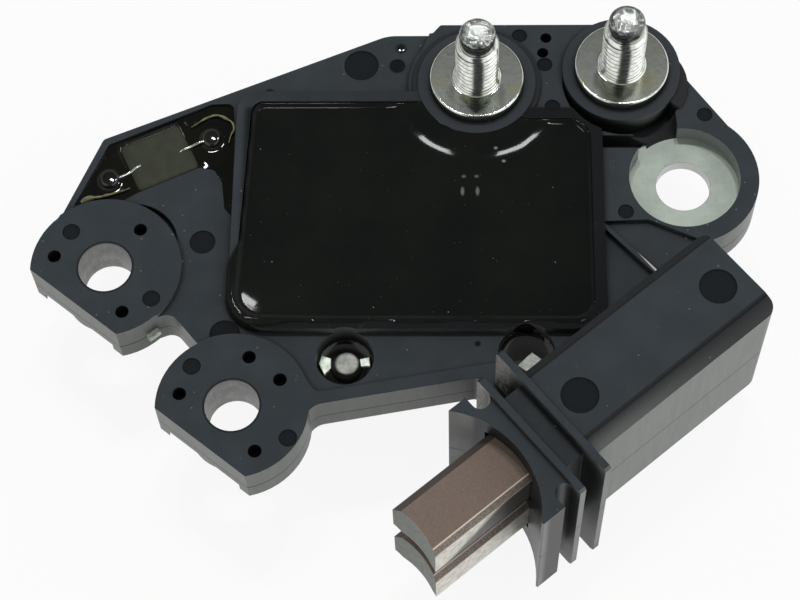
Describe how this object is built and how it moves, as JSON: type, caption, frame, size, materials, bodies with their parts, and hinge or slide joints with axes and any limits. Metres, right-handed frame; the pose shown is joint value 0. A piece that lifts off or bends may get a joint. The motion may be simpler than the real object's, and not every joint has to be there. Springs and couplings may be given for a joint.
{
  "type": "alternator voltage regulator",
  "caption": "Flat potted alternator voltage regulator with ear lugs, threaded studs and a slanted box of sprung brushes.",
  "frame": {"origin": "on the axis of the lower ear's bore, in the mounting face", "axes": "+Z out of the mounting face towards the stud tips; +X along the potting pool's long edge towards the earth ring; the brushes point out of their box along (-0.766, -0.643, 0)"},
  "size_m": [0.0819, 0.0672, 0.0283],
  "materials": {
    "moulding": "satin moulded plastic, charcoal",
    "sleeve_metal": "dull pressed steel",
    "earth_metal": "pale plated sheet metal",
    "stud_zinc": "bright zinc plate with a faint yellow tint",
    "lead_copper": "bare copper strip",
    "substrate": "white alumina",
    "chip": "black moulding compound",
    "potting": "near-black glossy resin",
    "capacitor_body": "olive resin-coated block",
    "solder": "bright solder and tinned wire",
    "bay_resin": "dark clear resin with pale edges",
    "brush_carbon": "brown-grey metal graphite",
    "spring_steel": "bright spring wire"
  },
  "bodies": {
    "holder": {"housing": "moulding", "upper_ear_sleeve": "sleeve_metal", "lower_ear_sleeve": "sleeve_metal", "earth_ring": "earth_metal", "left_stud": "stud_zinc", "right_stud": "stud_zinc", "left_stud_lead": "lead_copper", "right_stud_lead": "lead_copper", "hybrid_substrate": "substrate", "regulator_chip": "chip", "potting": "potting", "capacitor": "capacitor_body", "left_capacitor_wire": "solder", "right_capacitor_wire": "solder", "left_capacitor_post": "lead_copper", "right_capacitor_post": "lead_copper", "left_solder_joint": "solder", "right_solder_joint": "solder", "capacitor_resin": "bay_resin", "front_lead_strip": "earth_metal", "rear_lead_strip": "earth_metal", "tie_bar_stub": "solder", "upper_brush_terminal": "lead_copper", "lower_brush_terminal": "lead_copper", "upper_spring": "spring_steel", "lower_spring": "spring_steel", "upper_pigtail": "lead_copper", "lower_pigtail": "lead_copper"},
    "upper_brush": {"upper_brush": "brush_carbon"},
    "lower_brush": {"lower_brush": "brush_carbon"}
  },
  "joints": [
    {"name": "upper_brush_slide", "type": "slide", "parent": "holder", "child": "upper_brush", "axis": [0.766, 0.6428, 0], "range_m": [0, 0.0115], "stiffness_N_per_m": 170, "springref_m": -0.009, "deforming": ["upper_spring", "upper_pigtail"]},
    {"name": "lower_brush_slide", "type": "slide", "parent": "holder", "child": "lower_brush", "axis": [0.766, 0.6428, 0], "range_m": [0, 0.0115], "stiffness_N_per_m": 170, "springref_m": -0.009, "deforming": ["lower_spring", "lower_pigtail"]}
  ]
}
